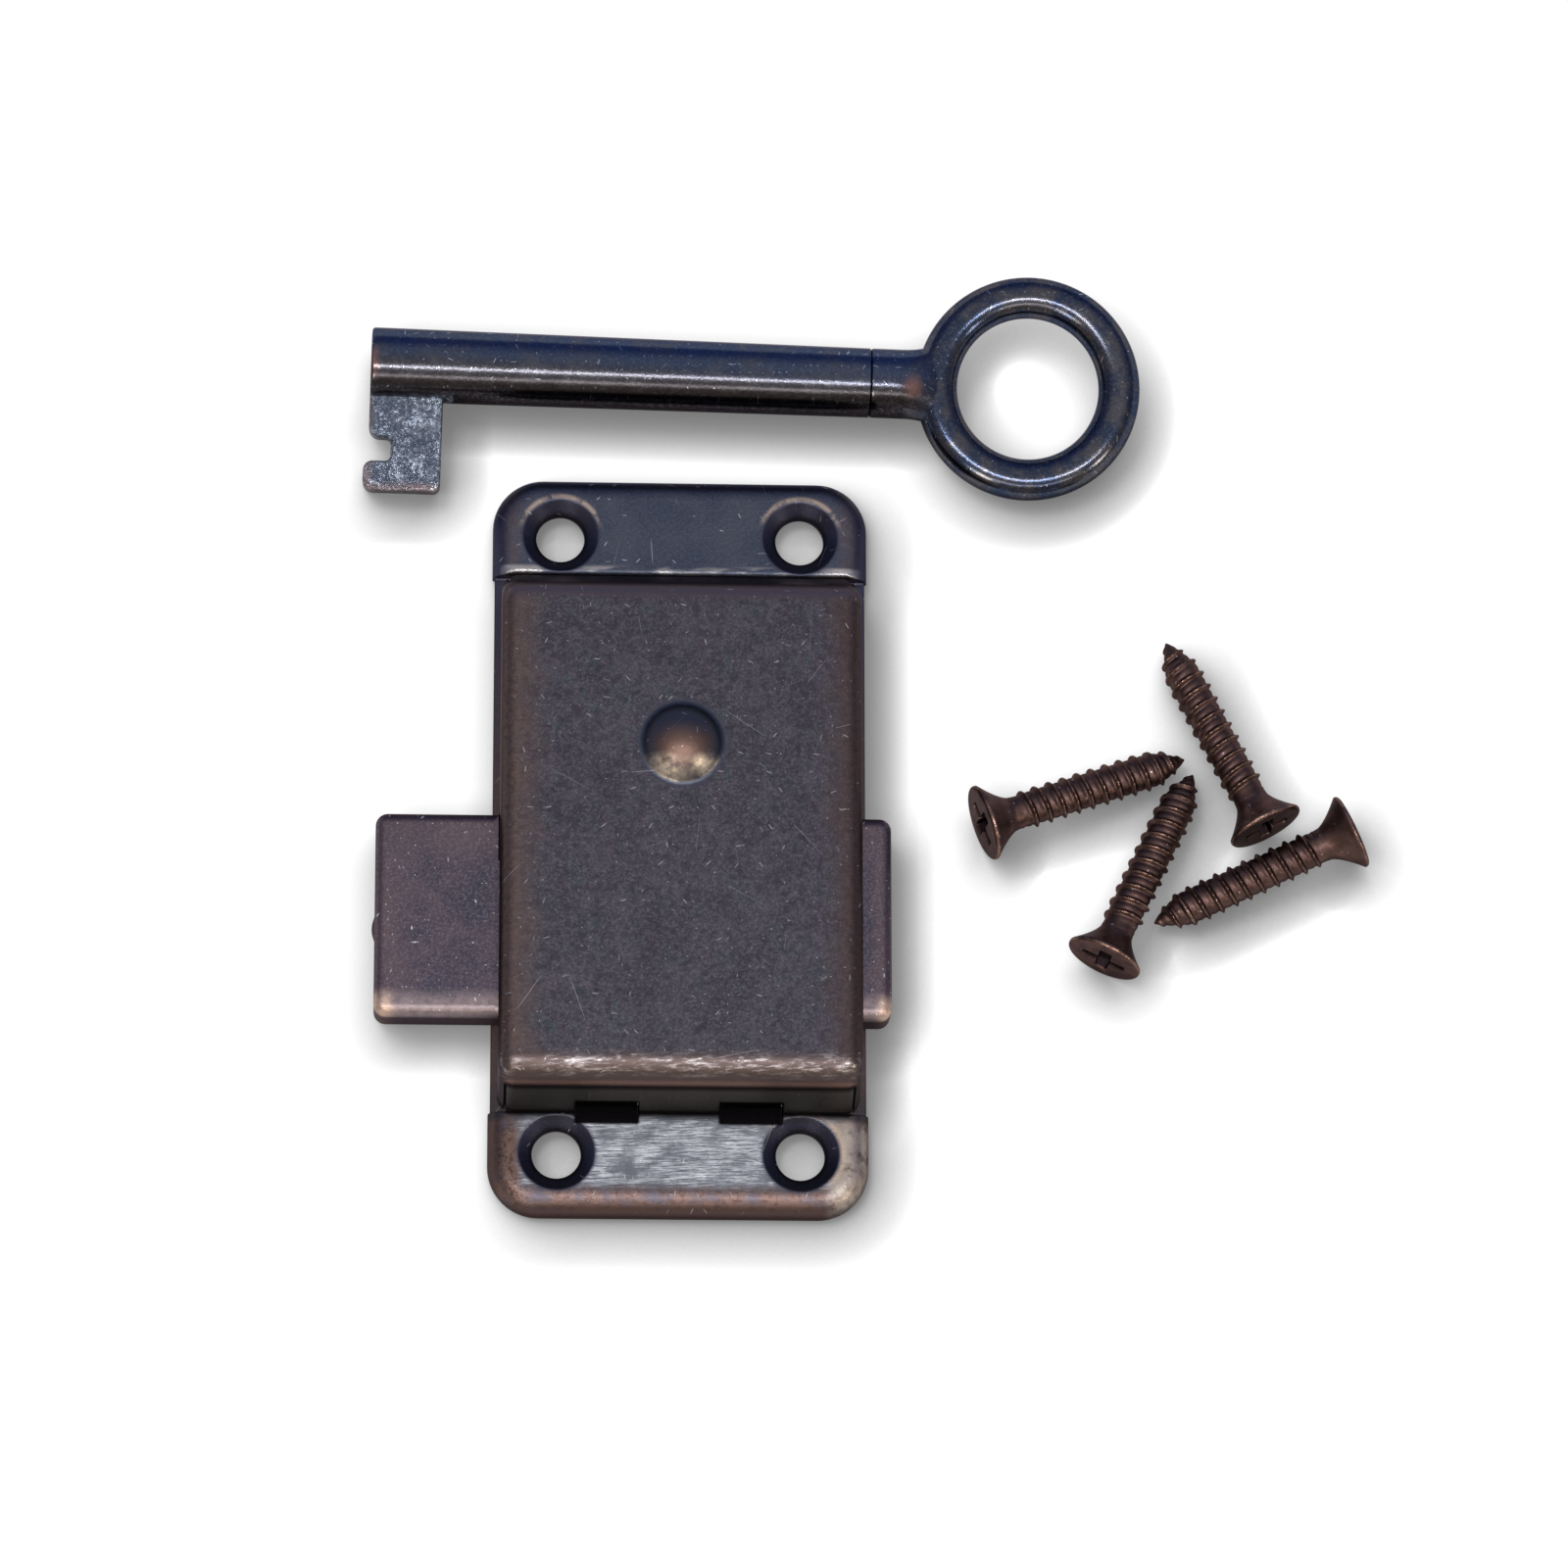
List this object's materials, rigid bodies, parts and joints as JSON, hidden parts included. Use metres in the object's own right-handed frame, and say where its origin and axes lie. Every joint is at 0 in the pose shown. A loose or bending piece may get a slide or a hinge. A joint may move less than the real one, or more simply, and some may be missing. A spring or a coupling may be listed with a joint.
{
  "type": "cupboard lock",
  "caption": "Surface-mount lock for a clock or cupboard door: sliding bolt under a folded cap on a flanged plate, with barrel key and countersunk wood screws.",
  "frame": {"origin": "centre of the lock's flat back face, which is also the centre of its four screw holes", "axes": "+X the way the bolt is drawn back, +Y along the lock towards its keyhole end, +Z out of the back face towards the cap"},
  "size_m": [0.0892, 0.0851, 0.0103],
  "materials": {
    "plate": "pressed steel, antique copper over dark oxide, rubbed bright on its rolled edges",
    "cap": "folded steel, antique copper over dark oxide, brown on its folds",
    "bolt": "cast and tumbled, antique copper over dark oxide",
    "key": "blue-black antique finish, burnished",
    "screw": "red-brown antique copper",
    "works": "plain oiled steel",
    "spring": "blued spring steel"
  },
  "bodies": {
    "case": {"base_plate": "plate", "case_cap": "cap", "drill_pin": "works", "ring_ward": "works", "bolt_stud_left": "works", "bolt_stud_right": "works", "detent_spring": "spring", "spring_post_left": "works", "spring_post_right": "works", "screw_1": "screw", "screw_2": "screw", "screw_3": "screw", "screw_4": "screw"},
    "bolt": {"bolt": "bolt"},
    "key": {"key_bow": "key", "key_shank": "key", "key_bit": "key"}
  },
  "joints": [
    {"name": "bolt_throw", "type": "slide", "parent": "case", "child": "bolt", "axis": [1, 0, 0], "range_m": [0, 0.0057], "deforming": ["detent_spring"]},
    {"name": "key_lift", "type": "slide", "parent": "case", "child": "key", "axis": [0, 0, 1], "range_m": [0, 0.03]}
  ]
}
